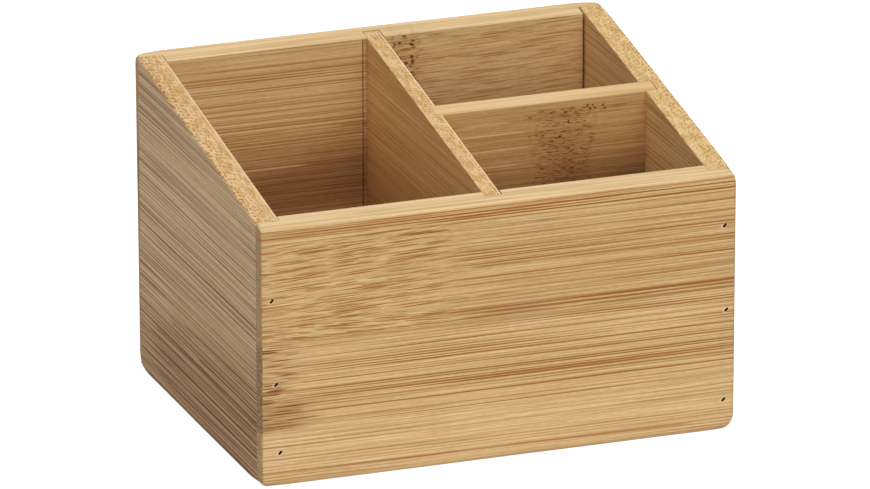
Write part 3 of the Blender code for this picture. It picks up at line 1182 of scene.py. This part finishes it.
def left_bamboo() -> Bamboo:
    """The left side panel's finish: close lines along it, dark ones low down, and dense dots on its rim."""
    heights = (28, 24.9, 21.5, 18.5, 15.8, 12.9, 10.4, 7.8, 5)
    stops = (12, 25, 0, 38, 45, 52, 48, 52, 52)
    dark = (84, 42, 0)
    low_lines = (Streak((-FAR, z), (y, z - 0.3), 0.45, 0.9, dark) for z, y in zip(heights, stops))
    return Bamboo(
        "left_side_bamboo",
        Grain.FROM_FRONT_TO_BACK,
        seed=11.4,
        strips=(Strip(27, -0.2, 1.5), Strip(52, 0, 1.1), Strip(TOP, 0.1, 0.9)),
        faint=0.1,
        face=(220, 185, 143),
        line=(122, 70, 14),
        dark_line=dark,
        rim=(206, 173, 123),
        streaks=(
            Streak((-FAR, 33), (24, 27), 11, 0.24, (140, 88, 30)),
            Streak((-FAR, 16), (40, 12), 18, 0.24, (120, 70, 6)),
            *low_lines,
        ),
        painted_foot_shade=0.8,
        dots=RimDots(-75, -67, 0.3, 2.1, 1),
        pale_edge=-67.6,
    )


def right_bamboo() -> Bamboo:
    """The right side panel's finish: clear dark lines, and finer dots on its rim."""
    return Bamboo(
        "right_side_bamboo",
        Grain.FROM_FRONT_TO_BACK,
        seed=14.8,
        strips=(Strip(24), Strip(50), Strip(76), Strip(TOP, 0.12)),
        face=(221, 181, 121),
        rim=(213, 181, 127),
        pitch=0.9,
        contrast=0.7,
        dots=RimDots(75, 67, 0.5, 2, 0.9, 0.6, -0.6),
    )


def centre_bamboo() -> Bamboo:
    """The centre divider's finish: fine lines, small dots on its rim, and painted shade darkening it towards
    the bottom.
    """
    return Bamboo(
        "centre_bamboo",
        Grain.FROM_FRONT_TO_BACK,
        seed=19.2,
        strips=(Strip(30), Strip(55), Strip(67.7), Strip(TOP)),
        face=(240, 184, 118),
        rim=(208, 175, 124),
        contrast=0.5,
        # Painted shade: a wide dark band low down, where shade falls deep in the compartments.
        streaks=(Streak((-FAR, 40), (FAR, 40), 42, 0.64, (112, 58, 30)),),
        dots=RimDots(2.1, -3.6, 0.4, 1.7, 0.9, 0.6, 0.4),
        pale_edge=2,
    )


def cross_bamboo() -> Bamboo:
    """The cross divider's finish: pale lines on the left, a speckled node on the right, painted shade low
    down and a painted highlight under its top.
    """
    upper_pits = ((48.8, 87.5), (49.6, 86.4), (50.4, 87.3), (51.3, 86.6), (53.7, 87.2), (54.3, 86))
    lower_pits = ((42.6, 83), (39.8, 78.6), (42.6, 74.6), (43.1, 70.7))
    return Bamboo(
        "cross_bamboo",
        Grain.FROM_SIDE_TO_SIDE,
        seed=23.7,
        strips=(Strip(35), Strip(61), Strip(TOP)),
        face=(205, 160, 100),
        rim=(213, 183, 135),
        contrast=0.45,
        pale_lines=0.6,
        knuckles=(Knuckle(41, 13, 0, 87.5, 0.9, 0, 2.2, 0.44, 0.15),),
        streaks=(
            # Painted shade: four wide dark bands low down, where shade falls deep in the compartments.
            Streak((30, 54), (FAR, 54), 29, 0.6, (90, 46, 22)),
            Streak((38, 60), (50, 60), 18, 0.3, (104, 48, 34)),
            Streak((54, 61), (FAR, 61), 13, 0.42, (70, 34, 18)),
            Streak((-10, 60), (24, 60), 16, 0.42, (120, 70, 40)),
            # Painted highlight: a pale band just under the top edge.
            Streak((-10, 88.4), (FAR, 88.4), 2.2, 0.35, (226, 184, 128)),
            Streak((9, 85), (24, 85), 0.5, 0.6, (236, 204, 158)),
            Streak((9, 81.5), (28, 81.4), 0.5, 0.7, (236, 204, 158)),
            Streak((8, 76.5), (30, 76.6), 0.5, 0.6, (238, 208, 164)),
            Streak((10, 71.5), (26, 71.4), 0.5, 0.7, (236, 204, 158)),
            Streak((55.7, 86.5), (61.4, 86.5), 0.4, 0.7, (120, 72, 40)),
        ),
        pits=upper_pits + lower_pits,
    )


def bottom_bamboo() -> Bamboo:
    """The bottom panel's finish."""
    strips = tuple(Strip(back) for back in (-30, -6, 19, 43, 60))
    return Bamboo("bottom_bamboo", Grain.LYING_FLAT, seed=29.1, strips=strips, face=(210, 166, 108))


@dataclass
class StorageBox:
    """The whole box: four walls, two dividers, the bottom and the brads. Metres.

    Attributes:
        front_depth: How deep the front panel is cut for the boards that end in it.
        back_depth: The same in the back panel.
        side_depth: How deep the right side panel is cut for the cross divider.
        divider_depth: How deep the centre divider is cut for it.
        bottom_depth: How deep the bottom goes into the four walls.
        room: What a tight joint leaves.
        side_rooms: What the back panel's rabbets leave beside the left and the right side panel.
        centre_rooms: What the grooves in the front and the back leave on the centre divider's right.
        centre_end: What the centre divider leaves behind its back end.
        cross_ends: What the cross divider leaves at its left and its right end.
        slit: How far left of the centre divider the open slit at the back starts and ends.
        slit_depth: How deep that slit is.
        slit_top: How far under the rim it ends.
        scrape_depth: How deep the back panel is scraped between the slit and the divider.
        scrape_inset: How far the scrape starts inside the slit, and ends below its top.
        past: How far a cutter goes past what it cuts.
        past_side: How far a rabbet's cutter goes outwards.
        side_edges: Radii of the outer edges of the side panels: lower and upper left, upper and lower right.
    """

    front_depth: float = 0.0030
    back_depth: float = 0.0044
    side_depth: float = 0.0037
    divider_depth: float = 0.0018
    bottom_depth: float = 0.0035
    room: float = 0.00006
    side_rooms: Pair = (0.00015, 0.0007)
    centre_rooms: Pair = (0.0003, 0.0002)
    centre_end: float = 0.0005
    cross_ends: Pair = (0.0001, 0.00024)
    slit: Pair = (0.0016, 0.0012)
    slit_depth: float = 0.0026
    slit_top: float = 0.0005
    scrape_depth: float = 0.0004
    scrape_inset: float = 0.0001
    past: float = 0.004
    past_side: float = 0.02
    side_edges: tuple[float, float, float, float] = (0.0005, 0.0008, 0.0009, 0.0009)

    def __post_init__(self) -> None:
        """Sets the boards with their finishes. A side panel's outer edges grow to the walls' corners."""
        soft, square = (SOFT_EDGE,) * 3, (SQUARE_EDGE,) * 3
        (left_top, left_foot), (right_top, right_foot) = (
            [(front.bends[corner], back.bends[corner]) for corner in (0, 1)]
            for front, back in zip(FRONT_ENDS, BACK_ENDS)
        )
        left_lower, left_upper, right_upper, right_lower = self.side_edges
        left_edges = ((left_lower, *left_foot), (left_upper, *left_top), soft, square)
        right_edges = (square, soft, (right_upper, *right_top), (right_lower, *right_foot))
        centre_edges = (square, soft, soft, square)
        self.front = Wall("front_panel", front_bamboo(), "wall_bamboo", 3, FRONT_ENDS)
        self.back = Wall("back_panel", back_bamboo(), "wall_bamboo", 4, BACK_ENDS, upper_edge=SOFT_EDGE)
        self.left = Upright("left_side_panel", left_bamboo(), "side_bamboo", 5, left_edges)
        self.right = Upright("right_side_panel", right_bamboo(), "side_bamboo", 6, right_edges)
        self.centre = Upright("centre_divider", centre_bamboo(), "divider_bamboo", 7, centre_edges)
        self.cross = Crossing("cross_divider", cross_bamboo(), "divider_bamboo", 8, SOFT_EDGE)
        self.bottom = Crossing("bottom_panel", bottom_bamboo(), "bottom_bamboo", 9, SQUARE_EDGE)

    def _rabbets(self, face: Face, y_ends: Pair, rooms: Pair) -> list[bpy.types.Object]:
        """Cutters for the corners of a wall that take the side panels' ends.

        Args:
            face: The wall.
            y_ends: Where they start and end along y.
            rooms: What they leave beside the left and the right side panel.

        Returns:
            The left and the right cutter.
        """
        (x_left, room_left), (x_right, room_right) = zip(self._inner_x(), rooms)
        foot, top = -self.past, BACK_HEIGHT + self.past
        left = Box((x_left - self.past_side, y_ends[0], foot), (x_left + room_left, y_ends[1], top))
        right = Box((x_right - room_right, y_ends[0], foot), (x_right + self.past_side, y_ends[1], top))
        return [block(f"{face.value}_left_rabbet", left), block(f"{face.value}_right_rabbet", right)]

    def _inner_x(self) -> Pair:
        """Where along x the side panels' inner faces are."""
        return self.left.box().high[0], self.right.box().low[0]

    def _groove(self, name: str, space: Box, x_low: float, x_high: float) -> bpy.types.Object:
        """A cutter for a board's groove: the board's space with room round it, open upwards."""
        low = (space.low[0] - x_low, space.low[1] - self.room, space.low[2] - self.room)
        high = (space.high[0] + x_high, space.high[1] + self.room, BACK_HEIGHT + self.past)
        return block(name, Box(low, high))

    def _slit(self, divider_x: float, foot: float, inner_y: float) -> list[bpy.types.Object]:
        """Cutters for the open slit left of the centre divider, and for the scrape beside it.

        Args:
            divider_x: The divider's left face.
            foot: Where both start upwards.
            inner_y: The back panel's inner face.

        Returns:
            The two cutters.
        """
        left, right = (divider_x - part for part in self.slit)
        front, top, inset = inner_y - self.past, top_height(inner_y) - self.slit_top, self.scrape_inset
        slit = Box((left, front, foot), (right, inner_y + self.slit_depth, top))
        scrape = Box((left + inset, front, foot), (divider_x, inner_y + self.scrape_depth, top - inset))
        return [block("back_slit", slit), block("back_scrape", scrape)]

    @staticmethod
    def _holes(face: Face, side: str = "") -> list[bpy.types.Object]:
        """Cutters for the brads of the front or the back, all of them or those of one side."""
        cutter, y = BradHole().cutter, face.outer_y()
        return [cutter(f"{name}_hole", middle.x, middle.z, y) for name, middle in brads(face, side).items()]

    def _side_holes(self, side: str) -> list[bpy.types.Object]:
        """Cutters for the brads that go into one side panel."""
        return self._holes(Face.FRONT, side) + self._holes(Face.BACK, side)

    def build(self) -> None:
        """Builds every board in order and dresses it."""
        room, past, reach = self.room, self.past, self.bottom_depth
        centre, cross, bottom = (board.box() for board in (self.centre, self.cross, self.bottom))
        left_inner, right_inner = self._inner_x()
        front_inner, back_inner = self.front.box().high[1], self.back.box().low[1]
        front_seat, back_seat = front_inner - self.front_depth, back_inner + self.back_depth
        front_open, back_open = front_inner + past, back_inner - past
        cross_left, cross_right = centre.high[0] - self.divider_depth, right_inner + self.side_depth
        y_low = front_seat + room
        bottom_space = Box(
            (left_inner - reach, front_inner - reach, bottom.low[2] - room),
            (right_inner + reach, back_inner + reach, bottom.high[2] + room),
        )
        side_space = bottom_space.spanning(1, front_seat - past, back_seat + past)

        cuts = self._rabbets(Face.FRONT, (front_seat, front_open), (room, room))
        cuts.append(block("front_bottom_groove", bottom_space))
        groove = centre.spanning(1, front_seat, front_open)
        cuts.append(self._groove("front_groove", groove, room, self.centre_rooms[0]))
        self._finished(self.front.blank(), self.front, cuts + self._holes(Face.FRONT))

        cuts = self._rabbets(Face.BACK, (back_open, back_seat), self.side_rooms)
        cuts.append(block("back_bottom_groove", bottom_space))
        groove = centre.spanning(1, back_open, back_seat)
        cuts.append(self._groove("back_groove", groove, room, self.centre_rooms[1]))
        cuts += self._slit(centre.low[0], bottom.high[2], back_inner)
        self._finished(self.back.blank(), self.back, cuts + self._holes(Face.BACK))

        cuts = [block("left_bottom_groove", side_space), *self._side_holes("left")]
        self._finished(self.left.blank(y_low, back_seat - room), self.left, cuts)

        cuts = [block("right_bottom_groove", side_space)]
        groove = cross.spanning(0, right_inner, cross_right)
        cuts.append(self._groove("right_groove", groove, past, self.cross_ends[1]))
        cuts += self._side_holes("right")
        self._finished(self.right.blank(y_low, back_seat - room), self.right, cuts)

        groove = cross.spanning(0, cross_left, right_inner)
        cuts = [self._groove("centre_groove", groove, self.cross_ends[0], 0)]
        self._finished(self.centre.blank(y_low, back_seat - self.centre_end), self.centre, cuts)
        self._finished(self.cross.blank(cross_left, cross_right), self.cross, [])
        x_low, x_high = bottom_space.low[0] + room, bottom_space.high[0] - room
        self._finished(self.bottom.blank(x_low, x_high), self.bottom, [])
        self._dress_brads()

    @staticmethod
    def _finished(piece: bpy.types.Object, board: Board, cuts: list[bpy.types.Object]) -> None:
        """Cuts a board, dresses it, and puts it in its CAD node's place."""
        if cuts:
            carve(piece, cuts)
        piece.data.materials.clear()
        piece.data.materials.append(board.finish.made())
        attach(piece, BODY)
        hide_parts(board.node)
        LOG.info("%s: %d faces", piece.name, len(piece.data.polygons))

    @staticmethod
    def _dress_brads() -> None:
        """Gives the brads, which stay as they come, their wire finish."""
        wire = Steel().made()
        names = [*brads(Face.FRONT), *brads(Face.BACK)]
        for name in names:
            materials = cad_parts[name].data.materials
            materials.clear()
            materials.append(wire)
        LOG.info("brads: %d pieces", len(names))


@dataclass(frozen=True)
class Lamp:
    """A square lamp that faces the box. Metres and watts."""

    name: str
    place: Triple
    size: float
    power: float

    def hang(self) -> None:
        """Puts the lamp into the scene."""
        data = bpy.data.lights.new(self.name, "AREA")
        data.size = self.size
        data.energy = self.power
        lamp = placed(self.name, data)
        lamp.location = self.place
        lamp.rotation_euler = Vector(self.place).to_track_quat("Z", "Y").to_euler()


@dataclass
class Studio:
    """A pale floor, soft light from above and the camera of the view. Metres."""

    target: Triple = (0.00024, -0.0006, 0.04861)
    distance: float = 3.3788
    azimuth: float = math.radians(-20.060)
    elevation: float = math.radians(19.240)
    roll: float = math.radians(-0.038)
    lens: float = 464.583
    floor_size: float = 12.0
    floor_colour: Colour = (206, 206, 206)
    floor_lift: float = 0.72
    sky: float = 0.22
    overhead: Lamp = Lamp("overhead", (-0.2, -0.3, 1.5), 1.3, 20.4)
    front_fill: Lamp = Lamp("front_fill", (0.2, -2.0, 0.7), 1.2, 12.8)

    def build(self) -> None:
        """Sets up the camera, the floor, the sky and the lamps."""
        self._camera()
        self._floor()
        self._sky()
        self.overhead.hang()
        self.front_fill.hang()

    def _camera(self) -> None:
        """The camera looks at the target from its azimuth and elevation."""
        data = bpy.data.cameras.new("camera")
        data.sensor_width = 36.0
        data.lens = self.lens
        data.clip_start = 0.1
        data.clip_end = 50.0
        camera = placed("camera", data)
        cos = math.cos(self.elevation)
        back = Vector((math.sin(self.azimuth) * cos, -math.cos(self.azimuth) * cos, math.sin(self.elevation)))
        camera.location = Vector(self.target) + back * self.distance
        turned = back.to_track_quat("Z", "Y").to_matrix() @ Matrix.Rotation(self.roll, 3, "Z")
        camera.rotation_euler = turned.to_euler()
        bpy.context.scene.camera = camera

    def _floor(self) -> None:
        """A floor that is lifted towards white where it is seen, and still shows the shadow."""
        share = np.linspace(-0.5, 0.5, 3) * self.floor_size
        x, y = np.meshgrid(share, share)
        points = np.stack((x, y, np.zeros_like(x)), axis=-1).reshape(-1, 3)
        mesh = bpy.data.meshes.new("floor")
        mesh.from_pydata(points.tolist(), [], [(low, low + 1, low + 4, low + 3) for low in (0, 1, 3, 4)])
        finish = Finish("pale_floor")
        lift = self._seen(finish.sheet) * self.floor_lift
        finish.set({"Base Color": linear(self.floor_colour), "Roughness": 0.9})
        finish.set({"Emission Color": finish.sheet.blend(lift, BLACK, WHITE), "Emission Strength": 1})
        mesh.materials.append(finish.material)
        placed("floor", mesh)

    @staticmethod
    def _seen(sheet: Sheet) -> Wire:
        """1 for what the camera sees directly, in a gloss or through glass."""
        camera = sheet.node("ShaderNodeLightPath", {}, {}, "Is Camera Ray")
        return camera.largest(camera.output("Is Glossy Ray")).largest(camera.output("Is Transmission Ray"))

    def _sky(self) -> None:
        """A low, even white sky that lights the box, and is white where it is seen."""
        world = bpy.data.worlds.new("sky")
        world.use_nodes = True
        bpy.context.scene.world = world
        sheet = Sheet(world.node_tree)
        sockets = world.node_tree.nodes["Background"].inputs
        sheet.feed(sockets["Color"], linear(WHITE))
        sheet.feed(sockets["Strength"], self._seen(sheet) * (1 - self.sky) + self.sky)


def main() -> None:
    """Builds the box and the studio in order."""
    logging.basicConfig(level=logging.INFO, format="%(name)s %(message)s")
    bpy.context.scene.view_settings.view_transform = "Standard"
    StorageBox().build()
    Studio().build()


if __name__ == "__main__":
    main()
